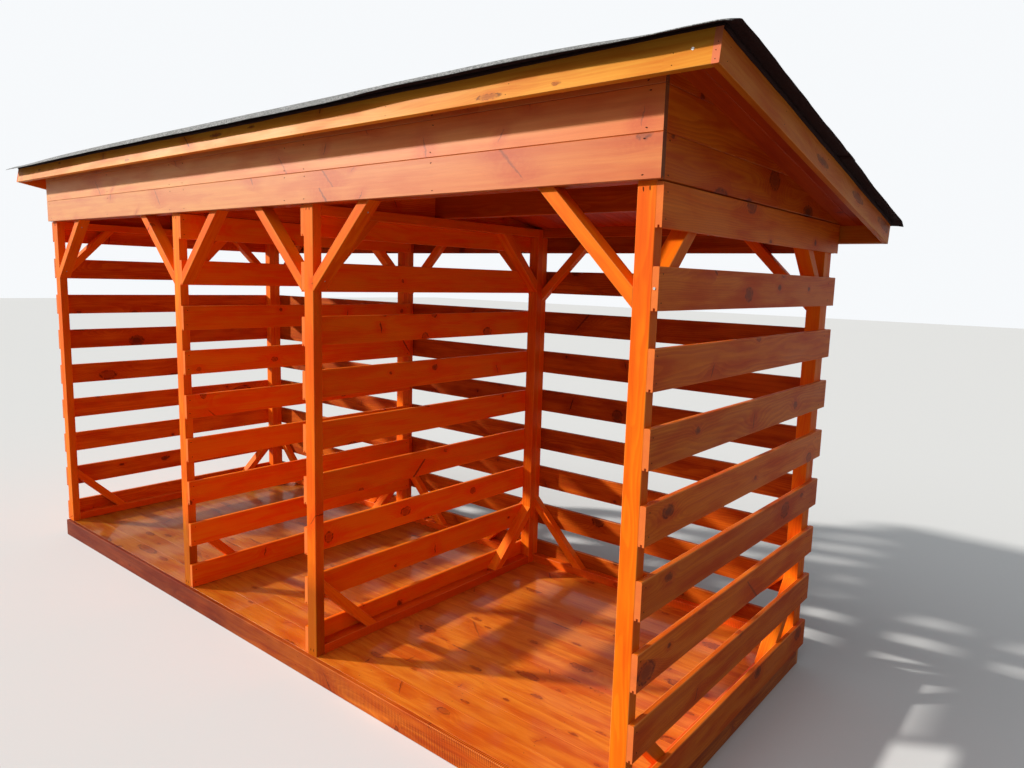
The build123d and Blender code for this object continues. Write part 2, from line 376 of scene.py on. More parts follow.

# %% [markdown]
# ## Stained softwood
# Thin stain soaks into the soft early wood and stays off the hard late wood, so the rings
# read as pale lines in a deeper colour. It also gathers round knots. Sawn ends get a painted
# light: a paler colour where they face the light, and near black as painted shade on the
# header's ends. The arrises are paler, partly stain thinned by wear and partly a painted
# highlight. One group mixes all of that from three colours, so the posts, the slats, the
# floor and the roof only differ in their values.

# %% Shader group: the sockets of stained softwood
stain, given, out = new_group(
    "stained softwood",
    "ShaderNodeTree",
    {
        "Place": (VECTOR, None),
        "Board": (FLOAT, 0.0),
        "End": (FLOAT, 0.0),
        "Arris": (FLOAT, 0.0),
        "Deep": (COLOUR, (0.62, 0.15, 0.02, 1.0)),
        "Pale": (COLOUR, (0.85, 0.27, 0.05, 1.0)),
        "Knot": (COLOUR, (0.10, 0.018, 0.006, 1.0)),
        "Figure": (FLOAT, 0.5),
        "Ring width": (FLOAT, 0.005),
        "Knot spacing": (FLOAT, 0.4),
        "Knot size": (FLOAT, 0.014),
        "Knot share": (FLOAT, 0.7),
        "Knot shrink": (FLOAT, 0.8),
        "Spikes": (FLOAT, 0.4),
        "Patches": (FLOAT, 0.35),
        # Sawn ends turn to this colour: painted light, pale by default for ends that face the light
        "Painted end light": (COLOUR, (0.86, 0.33, 0.13, 1.0)),
        "Shine": (FLOAT, 0.42),
    },
    {"Color": COLOUR, "Roughness": FLOAT, "Height": FLOAT, "Fibre": FLOAT},
)
knot = place_group(stain, knots, {
    "Place": given["Place"], "Board": given["Board"], "Spacing": given["Knot spacing"],
    "Size": given["Knot size"], "Share": given["Knot share"],
    "Shrink along": given["Knot shrink"], "Spikes": given["Spikes"]})
ring = place_group(stain, rings, {"Place": given["Place"], "Board": given["Board"],
                   "Ring width": given["Ring width"], "Push": knot["Push"]})
print("stained softwood takes", len(stain.interface.items_tree), "sockets")

# %% Shader group: how stained softwood looks
place = parts(given["Place"])
shift = given["Board"] * 37.0
fibre = noise(stretched(place, 14.0, 520.0, shift))["Fac"]
patch = noise(stretched(place, 3.2, 17.0, shift), 3.0, 0.55)["Fac"]
streak = noise(stretched(place, 1.1, 62.0, shift), 1.0)["Fac"]
own = drawn(given["Board"] * 211.0)

figure = ring["Late wood"] * given["Figure"] * (own[1] * 0.7 + 0.5)
lean = (ring["Broad"] - 0.5) * (given["Figure"] * 0.7)
share = figure + lean + own[0] * 0.3 + (streak - 0.45) * 0.9
wood = mix_colour(share, given["Deep"], given["Pale"])
deeper = mix_colour(0.62, wood, mix_colour(1.0, wood, given["Deep"], "MULTIPLY"))
bark = mix_colour(1.0, given["Knot"], (0.35, 0.3, 0.3, 1.0), "MULTIPLY")
for strength, colour in (
    (ramp(patch, 0.40, 0.68) * given["Patches"], deeper),
    (knot["Halo"] * 0.8, deeper),
    (knot["Core"] * 0.85, given["Knot"]),
    (knot["Rim"] * 0.75, bark),
    (knot["Split"] * 0.3, bark),
):
    wood = mix_colour(strength, wood, colour)
tone = (fibre * 0.16 + 0.90) * (own[2] * 0.2 + 0.9)
grey = add_node(stain, "ShaderNodeCombineColor", {0: tone, 1: tone, 2: tone})[0]
wood = mix_colour(1.0, wood, grey, "MULTIPLY")
# Arrises turn paler in patches: partly stain thinned by wear, partly a painted highlight on the
# edges
rubbed_and_highlit = mix_colour(0.4, given["Pale"], (0.95, 0.42, 0.16, 1.0))
wood = mix_colour(given["Arris"] * ramp(patch, 0.35, 0.65, 0.6, 0.15), wood, rubbed_and_highlit)
# Sawn ends take the painted end light: pale where they face the light, near black where shaded
wood = mix_colour(given["End"] * 0.7, wood, given["Painted end light"])
send(out, {
    "Color": wood,
    "Roughness": given["Shine"] + (patch - 0.5) * 0.22 + given["End"] * 0.25,
    "Height": ring["Late wood"] * 0.45 + fibre * 0.35 - knot["Rim"] * 0.5 - knot["Split"] * 1.5,
    "Fibre": fibre * 0.35,
})
print("stained softwood group:", len(stain.nodes), "nodes")

# %% [markdown]
# ## Planer ripple
# A planing machine with a nicked or slow-fed cutter leaves fine ripples square across the
# board. Stain gathers in them, so they show as a row of short dark lines. Half of the base
# rim and the sole plates have them, and fading noise lets them come and go.

# %% Shader group: planer ripple
ripple, given, out = new_group(
    "planer ripple",
    "ShaderNodeTree",
    {
        "Place": (VECTOR, None),
        "Board": (FLOAT, 0.0),
        "Pitch": (FLOAT, 0.008),
        "Color": (COLOUR, None),
        "Height": (FLOAT, 0.0),
        "Amount": (FLOAT, 0.5),
    },
    {"Color": COLOUR, "Height": FLOAT},
)
place = parts(given["Place"])
comes = noise(vector(place[0] * 2.2 + given["Board"] * 19.0, place[1] * 16.0, 0.0))["Fac"]
wave = ramp(reckon("SINE", place[0] / given["Pitch"] * (2 * pi)), -0.2, 0.9)
mask = wave * ramp(comes, 0.32, 0.52) * given["Amount"]
dark = mix_colour(1.0, given["Color"], (0.45, 0.32, 0.30, 1.0), "MULTIPLY")
send(out, {"Color": mix_colour(mask, given["Color"], dark), "Height": given["Height"] - mask})
print("planer ripple group:", len(ripple.nodes), "nodes")

# %% [markdown]
# ## Tinted bands
# One group tints a colour between two levels of any measure, such as the height or the
# length, with a ragged border. It paints shade on the feet of the two division posts and on
# the floor's left end, leaves the header's left end paler as a painted sheen, and darkens the
# left half of the front rim.

# %% Shader group: tinted bands
tint_band_group, given, out = new_group(
    "tint band",
    "ShaderNodeTree",
    {
        "Color": (COLOUR, None),
        "Place": (VECTOR, None),
        "Measure": (FLOAT, 0.0),
        "From": (FLOAT, 0.0),
        "To": (FLOAT, 1.0),
        "Ragged": (FLOAT, 0.1),
        "Tint": (COLOUR, (0.5, 0.5, 0.5, 1.0)),
    },
    {"Color": COLOUR},
)
border = (noise(given["Place"], 3.0, scale=6.0)["Fac"] - 0.5) * given["Ragged"]
mask = ramp(given["Measure"] + border, given["From"], given["To"], 1.0, 0.0)
tinted = mix_colour(1.0, given["Color"], given["Tint"], "MULTIPLY")
send(out, {"Color": mix_colour(mask, given["Color"], tinted)})
print("tint band group:", len(tint_band_group.nodes), "nodes")

# %% [markdown]
# ## Timber finishes
# A material reads four things that each board carries with it: its own place along, across
# and through the board, a number that is different for every board, and marks for sawn
# ends and arrises. Object coordinates alone would run one log's grain through the whole
# wall, and a brace's grain would not follow the brace.

# %% A finish for timber
def new_material(name):
    """A material with an empty tree."""
    material = bpy.data.materials.new(name)
    material.use_nodes = True
    material.node_tree.nodes.clear()
    return material, material.node_tree


def surface(tree, sockets):
    """Ends a material with a Principled shader."""
    shader = add_node(tree, "ShaderNodeBsdfPrincipled", sockets)[0]
    add_node(tree, "ShaderNodeOutputMaterial", {"Surface": shader})


def bumps(tree, height, strength, distance):
    """The normals of a small relief."""
    return add_node(tree, "ShaderNodeBump", {"Height": height, "Strength": strength,
                    "Distance": distance})[0]


def timber_finish(name, values, gleam, ripples=0.0, coat=0.0, gloss=0.16, pale_arrises=True, tint_band=None,
                  relief="Fibre"):
    """A stained timber with its own colours, grain and shine. Its relief is the fibre alone,
    or with Height also the rings and knots."""
    material, tree = new_material(name)
    read = {label: add_node(tree, "ShaderNodeAttribute", attribute_name=label)
            for label in ("timber", "board", "end", "arris")}
    data = {"Place": read["timber"]["Vector"], "Board": read["board"]["Fac"],
            "End": read["end"]["Fac"], "Arris": read["arris"]["Fac"]}
    if not pale_arrises:
        data.pop("Arris")
    look = place_group(tree, stain, {**data, **values})
    colour, height = look["Color"], look[relief]
    if ripples:
        marks = place_group(tree, ripple, {"Place": data["Place"], "Board": data["Board"],
                            "Color": colour, "Height": height, "Amount": ripples})
        colour, height = marks["Color"], marks["Height"]
    # A tinted band: painted shade on the post feet and the floor, painted sheen on the header, a
    # darker left half on the rim
    if tint_band:
        axis, start, end, ragged, tint = tint_band
        spot = add_node(tree, "ShaderNodeTexCoord")["Object"]
        colour = place_group(tree, tint_band_group, {"Color": colour, "Place": spot,
                             "Measure": parts(spot)[axis], "From": start, "To": end,
                             "Ragged": ragged, "Tint": tint})["Color"]
    surface(tree, {"Base Color": colour, "Roughness": look["Roughness"],
                   "Normal": bumps(tree, height, 0.8, 0.6 * MM), "Specular IOR Level": gleam,
                   "Coat Weight": coat, "Coat Roughness": gloss})
    return material


print("timber finishes can be mixed")

# %% Finishes of the frame
frame_values = {
    "Deep": (0.88, 0.145, 0.003, 1), "Pale": (1.0, 0.260, 0.006, 1),
    "Knot": (0.20, 0.030, 0.004, 1), "Figure": 0.45, "Ring width": 0.0042,
    "Knot spacing": 0.55, "Knot size": 0.008, "Knot share": 0.3, "Patches": 0.6, "Shine": 0.5}
frame_finish = timber_finish("stained_frame_timber", frame_values, 0.08)
# The framing under the roof takes darker colours than the frame: painted shade
roof_frame_shade_finish = timber_finish("stained_roof_framing_painted_shade", {
    **frame_values, "Deep": (0.45, 0.055, 0.002, 1), "Pale": (0.60, 0.100, 0.004, 1)}, 0.04)
# The feet of the division posts darken below about 0.4 m: painted shade
shaded_foot_finish = timber_finish("stained_post_foot_painted_shade", frame_values, 0.08,
                            tint_band=(2, 0.36, 0.52, 0.12, (0.52, 0.58, 0.25, 1)))
sole_finish = timber_finish("stained_sole_timber", {
    "Deep": (0.76, 0.100, 0.003, 1), "Pale": (0.90, 0.165, 0.006, 1),
    "Knot": (0.17, 0.025, 0.004, 1), "Figure": 0.3, "Ring width": 0.0042, "Knot spacing": 0.5,
    "Knot size": 0.010, "Knot share": 0.4, "Patches": 0.6, "Shine": 0.42}, 0.18, ripples=0.45)
print("frame finishes:", len(bpy.data.materials))

# %% Finishes of the walls
# The slats' sawn ends take a pale painted light
slat_values = {"Ring width": 0.0056, "Knot spacing": 0.40, "Knot share": 0.7, "Shine": 0.5,
               "Painted end light": (0.82, 0.20, 0.05, 1)}
wall_finish = timber_finish("stained_wall_board", {
    **slat_values, "Deep": (0.70, 0.105, 0.004, 1), "Pale": (0.92, 0.230, 0.012, 1),
    "Knot": (0.13, 0.022, 0.006, 1), "Figure": 0.5, "Knot size": 0.020, "Knot shrink": 0.5,
    "Spikes": 0.3, "Patches": 0.8}, 0.08)
# The division boards are brighter than the wall boards: painted light for the light bounced onto
# them
division_lit_finish = timber_finish("stained_division_board_painted_light", {
    **slat_values, "Deep": (0.98, 0.165, 0.004, 1), "Pale": (1.0, 0.290, 0.010, 1),
    "Knot": (0.20, 0.034, 0.006, 1), "Figure": 0.4, "Knot size": 0.018, "Spikes": 0.12,
    "Patches": 0.7}, 0.06)
# The back boards are darker than the wall boards: painted shade
back_shade_finish = timber_finish("stained_back_board_painted_shade", {
    **slat_values, "Deep": (0.42, 0.060, 0.003, 1), "Pale": (0.66, 0.150, 0.008, 1),
    "Knot": (0.08, 0.014, 0.004, 1), "Figure": 0.45, "Knot size": 0.019, "Spikes": 0.3,
    "Patches": 0.8}, 0.06)
print("with wall finishes:", len(bpy.data.materials))

# %% Finishes of the roof, the floor and the base
# The header is paler than the other boards as a painted sheen, and paler still towards its left
# end; its sawn ends are near black, from darker end grain and painted shade
header_painted_light_finish = timber_finish("stained_header_board_painted_light", {
    "Deep": (0.74, 0.235, 0.042, 1), "Pale": (0.90, 0.460, 0.125, 1),
    "Knot": (0.34, 0.090, 0.026, 1), "Figure": 0.08, "Ring width": 0.0052,
    "Knot spacing": 0.42, "Knot size": 0.019, "Knot share": 0.75, "Spikes": 0.75,
    "Patches": 0.55, "Shine": 0.48, "Painted end light": (0.01, 0.003, 0.002, 1)}, 0.36,
    tint_band=(0, 2.0, -0.4, 0.3, (0.97, 0.70, 0.58, 1)))
# The edge boards' sawn ends take a pale painted light
edge_values = {
    "Deep": (0.72, 0.165, 0.010, 1), "Pale": (0.90, 0.320, 0.034, 1),
    "Knot": (0.20, 0.045, 0.008, 1), "Figure": 0.25, "Ring width": 0.0048,
    "Knot spacing": 0.36, "Knot size": 0.010, "Knot share": 0.75, "Knot shrink": 0.14,
    "Patches": 0.6, "Shine": 0.5, "Painted end light": (0.80, 0.22, 0.12, 1)}
edge_finish = timber_finish("stained_edge_board", edge_values, 0.07)
# The front edge board is paler than the verges, which are the same boards: a painted sheen
front_edge_sheen_finish = timber_finish("stained_front_edge_board_painted_sheen", {
    **edge_values, "Deep": (0.72, 0.240, 0.018, 1), "Pale": (0.90, 0.460, 0.056, 1)}, 0.07)
deck_finish = timber_finish("stained_deck_board", {
    "Deep": (0.54, 0.050, 0.003, 1), "Pale": (0.70, 0.090, 0.006, 1),
    "Knot": (0.15, 0.020, 0.004, 1), "Figure": 0.3, "Ring width": 0.0056,
    "Knot spacing": 0.45, "Knot size": 0.013, "Knot share": 0.5, "Patches": 0.6,
    "Shine": 0.5}, 0.12)
# The floor darkens towards its left end: painted shade over the left bay
floor_finish = timber_finish("stained_floor_board", {
    "Deep": (0.66, 0.150, 0.010, 1), "Pale": (0.84, 0.290, 0.028, 1),
    "Knot": (0.26, 0.040, 0.006, 1), "Figure": 0.3, "Ring width": 0.0062,
    "Knot spacing": 0.30, "Knot size": 0.017, "Knot share": 0.65, "Knot shrink": 0.3,
    "Spikes": 0.2, "Patches": 0.9, "Shine": 0.36}, 0.1, coat=0.25, gloss=0.10, pale_arrises=False,
    tint_band=(0, -1.4, 1.1, 0.5, (0.52, 0.62, 0.56, 1)), relief="Height")
# The rim darkens over its left half, with a ragged border, through its tint band
rim_finish = timber_finish("stained_rim_board", {
    "Deep": (0.56, 0.100, 0.008, 1), "Pale": (0.90, 0.240, 0.020, 1),
    "Knot": (0.12, 0.02, 0.006, 1), "Figure": 0.4, "Ring width": 0.005, "Knot spacing": 0.5,
    "Knot size": 0.014, "Knot share": 0.6, "Patches": 0.9, "Shine": 0.44}, 0.1, ripples=0.9,
    tint_band=(0, -0.6, 1.2, 1.2, (0.36, 0.24, 0.32, 1)))
print("timber finishes:", [material.name for material in bpy.data.materials])

# %% [markdown]
# ## Fixings and felt
# Brads are punched just under the face, and the stain turns them nearly black. A few
# screws were driven after staining and stay bright. The roof's felt is bitumen sheet faced
# with crushed slate on its upper side: grey, quite rough, with a fine sparkle of grains.
# Its underside is bare bitumen and nearly black, with a reddish tint painted in as the reflection
# of the orange boards below it.

# %% Finishes for fixings
def plain_finish(name, colour, worn_colour, scale, roughness, metal, bump, gleam=0.5):
    """A small-grained finish made from one noise, in the object's own coordinates."""
    material, tree = new_material(name)
    grain = noise(add_node(tree, "ShaderNodeTexCoord")["Object"], 4.0, scale=scale)["Fac"]
    mask = ramp(grain, 0.4, 0.65)
    surface(tree, {"Base Color": mix_colour(mask, colour, worn_colour), "Metallic": metal,
                   "Roughness": mix_value(mask, roughness, min(1.0, roughness + 0.2)),
                   "Normal": bumps(tree, grain, 0.5, bump), "Specular IOR Level": gleam})
    return material


brad_finish = plain_finish("stained_brad", (0.012, 0.006, 0.004, 1), (0.05, 0.016, 0.007, 1),
                           900.0, 0.8, 0.0, 0.2 * MM, gleam=0.05)
screw_finish = plain_finish("zinc_screw", (0.62, 0.62, 0.60, 1), (0.42, 0.41, 0.38, 1),
                            500.0, 0.3, 1.0, 0.1 * MM)
nail_finish = plain_finish("galvanised_nail", (0.36, 0.37, 0.38, 1), (0.22, 0.22, 0.23, 1),
                           300.0, 0.45, 1.0, 0.2 * MM)
print("fixing finishes ready")

# %% Finish for the felt
felt_finish, tree = new_material("slate_faced_felt")
place = add_node(tree, "ShaderNodeTexCoord")["Object"]
grains = add_node(tree, "ShaderNodeTexVoronoi", {"Vector": place, "Scale": 420.0})
speck = parts(grains["Color"])
blotch = noise(place, 5.0, scale=3.5)["Fac"]
slate = mix_colour(ramp(speck[0], 0.3, 1.0), (0.13, 0.13, 0.13, 1), (0.46, 0.46, 0.45, 1))
slate = mix_colour(ramp(blotch, 0.45, 0.7, 0.0, 0.6), slate, (0.19, 0.19, 0.185, 1))
upper_side = add_node(tree, "ShaderNodeAttribute", attribute_name="upper")["Fac"]
# The underside is nearly black bitumen with a painted reddish reflection of the boards
surface(tree, {"Base Color": mix_colour(upper_side, (0.026, 0.009, 0.008, 1), slate),
               "Roughness": mix_value(speck[1], 0.72, 0.95), "Specular IOR Level": 0.1,
               "Normal": bumps(tree, grains["Distance"], 0.6, 1.2 * MM)})
print("finishes in all:", len(bpy.data.materials))

# %% [markdown]
# ## Single timbers
# Posts, rails, plates, braces and edge boards are plain prisms with straight cuts, and the
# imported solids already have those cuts. So a copy of the solid is cleaned of its loose
# triangles, and only the long edges are planed off: a real planed timber has such eased
# arrises along its grain, and none across its sawn ends. The longest edge of a timber
# tells which way its grain runs.

# %% Pieces, and the timbers in a mesh
seeds = random.Random(7)


def finished(mesh, name, material, nodes):
    """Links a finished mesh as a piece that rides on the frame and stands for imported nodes."""
    piece = bpy.data.objects.new(name, mesh)
    bpy.context.scene.collection.objects.link(piece)
    mesh.materials.clear()
    mesh.materials.append(material)
    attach(piece, "root")
    if nodes:
        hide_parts(*nodes)


def mesh_from(bm, name):
    """A new mesh from edited geometry, which is freed."""
    mesh = bpy.data.meshes.new(name)
    bm.to_mesh(mesh)
    bm.free()
    return mesh


def touching(group, kind):
    """The edges or faces at some vertices, each one once and always in the same order."""
    return list(dict.fromkeys(item for vertex in group for item in getattr(vertex, kind)))


def islands(bm):
    """The vertices of each separate solid."""
    left = set(bm.verts)
    groups = []
    for start in bm.verts:
        if start not in left:
            continue
        left.discard(start)
        group, unread = [start], [start]
        while unread:
            vertex = unread.pop()
            for edge in vertex.link_edges:
                other = edge.other_vert(vertex)
                if other in left:
                    left.discard(other)
                    group.append(other)
                    unread.append(other)
        groups.append(group)
    return groups


def axes_of(group):
    """Along the grain, across the widest face and through it, with the middle of the timber."""
    longest = max(touching(group, "link_edges"), key=lambda edge: round(edge.calc_length(), 5))
    grain = (longest.verts[1].co - longest.verts[0].co).normalized()
    if max(grain, key=abs) < 0:
        grain = -grain
    widest = max(touching(group, "link_faces"), key=lambda face: round(face.calc_area(), 6))
    through = (widest.normal - grain * widest.normal.dot(grain)).normalized()
    low = Vector((min(v.co[k] for v in group) for k in range(3)))
    high = Vector((max(v.co[k] for v in group) for k in range(3)))
    return grain, through.cross(grain), through, (low + high) / 2


print("ready to split a mesh into its timbers")

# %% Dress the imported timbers
END_TILT = 0.5
ARRIS_TILT = 0.05


def mark_boards(bm, frames):
    """Writes each board's own coordinates, its number, and marks on its ends and arrises."""
    place = bm.verts.layers.float_vector.new("timber")
    number = bm.verts.layers.float.new("board")
    end = bm.faces.layers.float.new("end")
    arris = bm.faces.layers.float.new("arris")
    for group in islands(bm):
        middle = sum((v.co for v in group), Vector()) / len(group)
        grain, across, through, centre = min(frames, key=lambda f: (f[3] - middle).length)
        own_number = seeds.random()
        for vertex in group:
            away = vertex.co - centre
            vertex[place] = (away.dot(grain), away.dot(across), away.dot(through))
            vertex[number] = own_number
        for face in touching(group, "link_faces"):
            face[end] = 1.0 if abs(face.normal.dot(grain)) > END_TILT else 0.0
            tilted = abs(face.normal.dot(across) * face.normal.dot(through))
            face[arris] = 1.0 if tilted > ARRIS_TILT and not face[end] else 0.0


def dress(node, material, arris=1.8 * MM):
    """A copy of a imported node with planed-off long edges and board coordinates."""
    bm = bmesh.new()
    bm.from_mesh(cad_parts[node].data)
    bmesh.ops.remove_doubles(bm, verts=bm.verts, dist=0.02 * MM)
    bmesh.ops.dissolve_limit(bm, angle_limit=radians(0.5), verts=bm.verts, edges=bm.edges)
    bm.normal_update()
    groups = islands(bm)
    frames = [axes_of(group) for group in groups]
    long_edges = []
    for group, (grain, _, _, _) in zip(groups, frames):
        for edge in touching(group, "link_edges"):
            way = (edge.verts[1].co - edge.verts[0].co).normalized()
            if abs(way.dot(grain)) > 0.999 and edge.calc_face_angle(0) > 0.3:
                long_edges.append(edge)
    bmesh.ops.bevel(bm, geom=long_edges, offset=arris, offset_type="OFFSET", segments=2,
                    profile=0.5, affect="EDGES", clamp_overlap=True)
    bm.normal_update()
    mark_boards(bm, frames)
    finished(mesh_from(bm, f"{node}_timber"), f"{node}_timber", material, [node])


for side in sides:
    dress(f"front_post_{side}", shaded_foot_finish if "division" in side else frame_finish)
    for kind in ("back_post", "back_frame_post"):
        dress(f"{kind}_{side}", frame_finish)
for node in ("front_plate", "back_plate", "middle_purlin", "front_purlin", "header_studs"):
    dress(node, roof_frame_shade_finish)
for node in ("frame_top_rails", "front_knee_braces", "back_knee_braces", "back_foot_braces",
             "frame_knee_braces", "frame_foot_braces"):
    dress(node, frame_finish)
for node in ("frame_soles", "back_sole"):
    dress(node, sole_finish)
for node in ("base_joists", "base_rim_front", "base_rim_back", "base_rim_ends"):
    dress(node, rim_finish, arris=2.5 * MM)
for node in ("fascia_front", "fascia_back", "verge_left", "verge_right"):
    edge_look = front_edge_sheen_finish if node == "fascia_front" else edge_finish
    dress(node, edge_look, arris=1.5 * MM)

# %% [markdown]
# ## Rows of boards
# Walls, floor, header and roof are all the same thing: one board section, drawn once,
# pushed out to a length and set down again and again at a fixed pitch. Geometry Nodes do
# exactly that, and keep the numbers open: length, count, pitch and how loosely the boards
# lie. The section is a flat face that the tree is given, so one tree serves the grooved
# slats and the tongued boards alike. Before the boards are copied, the tree writes their
# own coordinates on them, and each copy then gets its number.

# %% Geometry Nodes tree: a row of boards
row_tree, given, out = new_group(
    "row of boards",
    "GeometryNodeTree",
    {
        "Section": (GEOMETRY, None),
        "Length": (FLOAT, 1.5),
        "Count": (WHOLE, 9),
        "Pitch": (FLOAT, 0.114),
        "Play along": (FLOAT, 0.001),
        "Play across": (FLOAT, 0.0003),
        "Seed": (WHOLE, 1),
        "Finish": (MATERIAL, None),
    },
    {"Boards": GEOMETRY},
)
in_row = partial(add_node, row_tree)


def written(geometry, label, value, kind="FLOAT", domain="FACE"):
    """Writes a value on the boards, under a name that the finishes read."""
    return in_row("GeometryNodeStoreNamedAttribute", {"Geometry": geometry, "Name": label,
                  "Value": value}, data_type=kind, domain=domain)[0]


body = in_row("GeometryNodeExtrudeMesh", {"Mesh": given["Section"], "Offset Scale": 1.0,
              "Offset": vector(given["Length"])}, mode="FACES")["Mesh"]
first_end = in_row("GeometryNodeFlipFaces", {"Mesh": given["Section"]})[0]
joined = in_row("GeometryNodeJoinGeometry", {0: [body, first_end]})[0]
closed = in_row("GeometryNodeMergeByDistance", {"Geometry": joined, "Distance": 0.01 * MM})[0]

own_place = in_row("GeometryNodeInputPosition")[0] - vector(given["Length"] / 2.0)
facing = parts(in_row("GeometryNodeInputNormal")[0])
closed = written(closed, "timber", own_place, "FLOAT_VECTOR", "POINT")
closed = written(closed, "end", abs(facing[0]) > END_TILT)
closed = written(closed, "arris", abs(facing[1] * facing[2]) > ARRIS_TILT)

step = add_node(row_tree, "ShaderNodeCombineXYZ", {1: given["Pitch"]})[0]
line = in_row("GeometryNodeMeshLine", {"Count": given["Count"], "Offset": step}, mode="OFFSET")[0]
play = vector(given["Play along"], given["Play across"])
moved = in_row("FunctionNodeRandomValue", {0: play * (-1.0, -1.0, -1.0), 1: play,
               "Seed": given["Seed"]}, data_type="FLOAT_VECTOR")[0]
line = in_row("GeometryNodeSetPosition", {"Geometry": line, "Offset": moved})[0]
copies = in_row("GeometryNodeInstanceOnPoints", {"Points": line, "Instance": closed})[0]
number = in_row("FunctionNodeRandomValue", {2: 0.0, 3: 1.0, "Seed": given["Seed"] + 1.0},
                data_type="FLOAT")[1]
copies = written(copies, "board", number, domain="INSTANCE")
real = in_row("GeometryNodeRealizeInstances", {0: copies})[0]
send(out, {"Boards": in_row("GeometryNodeSetMaterial", {"Geometry": real,
                            "Material": given["Finish"]})[0]})
print("row of boards tree:", len(row_tree.nodes), "nodes")

# %% [markdown]
# ## Board sections
# A slat is a machined board with a groove in its lower edge and rounded upper arrises. A
# tongued board has the groove too, a tongue on its upper edge, and a bevel on both sides
# of its face, so that two boards meet in a V. Both sections are drawn in millimetres from
# the middle of the board, with the face that shows on the far side.

# %% Sections
COVER = 114.0
THICK = board / MM
GROOVE = 7.0


def slat_section(groove=6.0, arris=3.0):
    """Corners of a slat: (across, through), anticlockwise."""
    h, t, g, a = COVER / 2, THICK / 2, groove / 2, arris
    round_off = [(h - a, -t), (h - 0.3 * a, -t + 0.3 * a), (h, -t + a), (h, t - a),
                 (h - 0.3 * a, t - 0.3 * a), (h - a, t)]
    return [(-h + 1, -t), *round_off, (-h + 1, t), (-h, t - 1), (-h, g), (-h + GROOVE, g),
            (-h + GROOVE, -g), (-h, -g), (-h, -t + 1)]


def tongue_section(bevel=1.4, gap=0.9, tongue=5.4):
    """Corners of a tongued and grooved board: (across, through), anticlockwise."""
    h, t, g = (COVER - gap) / 2, THICK / 2, tongue / 2
    tip, wide = h + GROOVE - 1.2, g + 0.3
    return [(-h, -t), (h, -t), (h, -g), (tip, -g + 0.5), (tip, g - 0.5), (h, g), (h, t - bevel),
            (h - bevel, t), (-h + bevel, t), (-h, t - bevel), (-h, wide), (-h + GROOVE, wide),
            (-h + GROOVE, -wide), (-h, -wide)]


print("slat corners:", len(slat_section()), "tongued board corners:", len(tongue_section()))

# %% [markdown]
# ## Laying a row
# The tree makes a row near the origin. Three directions then say how it lies: along the
# boards, from board to board, and the way their faces look. Where a row ends on the roof's
# slope or is ripped to fit, it is cut with a plane and the cut is closed again.

# %% Lay and cut a row
def run_tree(tree, mesh, values):
    """Runs a Geometry Nodes tree on a mesh and hands back the plain result."""
    holder = bpy.data.objects.new("holder", mesh)
    bpy.context.scene.collection.objects.link(holder)
    modifier = holder.modifiers.new("nodes", "NODES")
    modifier.node_group = tree
    for item in tree.interface.items_tree:
        if item.in_out == "INPUT" and item.name in values:
            modifier[item.identifier] = values[item.name]
    graph = bpy.context.evaluated_depsgraph_get()
    result = bpy.data.meshes.new_from_object(holder.evaluated_get(graph))
    bpy.data.objects.remove(holder)
    return result


def lay_row(section, values, origin, along, onward, finish):
    """A row of boards laid from an origin. The faces look along the third direction."""
    flat = bpy.data.meshes.new("section")
    corners = [(0, y * MM, z * MM) for y, z in section]
    flat.from_pydata(corners, [], [tuple(range(len(corners)))])
    flat.update()
    mesh = run_tree(row_tree, flat, {**values, "Finish": finish})
    mesh.shade_flat()
    turned = Matrix((along, onward, along.cross(onward))).transposed().to_4x4()
    mesh.transform(Matrix.Translation(origin) @ turned)
    return mesh


def cut(mesh, point, away):
    """Cuts off what lies beyond a plane, and closes the cut."""
    bm = bmesh.new()
    bm.from_mesh(mesh)
    made = bmesh.ops.bisect_plane(bm, geom=[*bm.verts, *bm.edges, *bm.faces], plane_co=point,
                                  plane_no=away, clear_outer=True, dist=0.01 * MM)
    rim = [item for item in made["geom_cut"] if isinstance(item, bmesh.types.BMEdge)]
    end, arris = bm.faces.layers.float["end"], bm.faces.layers.float["arris"]
    for cap in bmesh.ops.holes_fill(bm, edges=rim, sides=0)["faces"]:
        cap[end], cap[arris] = 0.0, 0.0
    bm.normal_update()
    bm.to_mesh(mesh)
    bm.free()


print("cutting and laying helpers ready")

# %% [markdown]
# ## Slatted walls
# Nine slats make each wall, with gaps a little narrower than a slat, so that air dries the
# logs. They were nailed on by eye, so each one is a millimetre off here and there.

# %% Slats
SLAT_COUNT = 9
END_PLAY = 0.3 * MM

slat_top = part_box("slats_right")[1].z
slat_pitch = (slat_top - floor_top - COVER * MM) / (SLAT_COUNT - 1)
first_slat = floor_top + COVER * MM / 2
right_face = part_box("slats_division_right")[1].x - board / 2
left_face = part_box("slats_division_left")[0].x + board / 2
slat_walls = {
    "right": (half_length + board / 2, front, Y, wall_back - front, 11, wall_finish),
    "left": (-half_length - board / 2, wall_back, -Y, wall_back - front, 12, wall_finish),
    "division_right": (right_face, frame_back, -Y, frame_back - front, 13, division_lit_finish),
    "division_left": (left_face, front, Y, frame_back - front, 14, division_lit_finish),
    "back": (half_length, base_back + board / 2, -X, 2 * half_length, 15, back_shade_finish),
}
for wall, (x, y, along, length, seed, finish) in slat_walls.items():
    values = {"Length": length - 2 * END_PLAY, "Count": SLAT_COUNT, "Pitch": slat_pitch,
              "Play along": END_PLAY, "Play across": 1.0 * MM, "Seed": seed}
    origin = Vector((x, y, first_slat)) + along * END_PLAY
    slats = lay_row(slat_section(), values, origin, along, Z, finish)
    finished(slats, f"slats_{wall}_boards", finish, [f"slats_{wall}"])
    print(wall, len(slats.polygons), "faces")

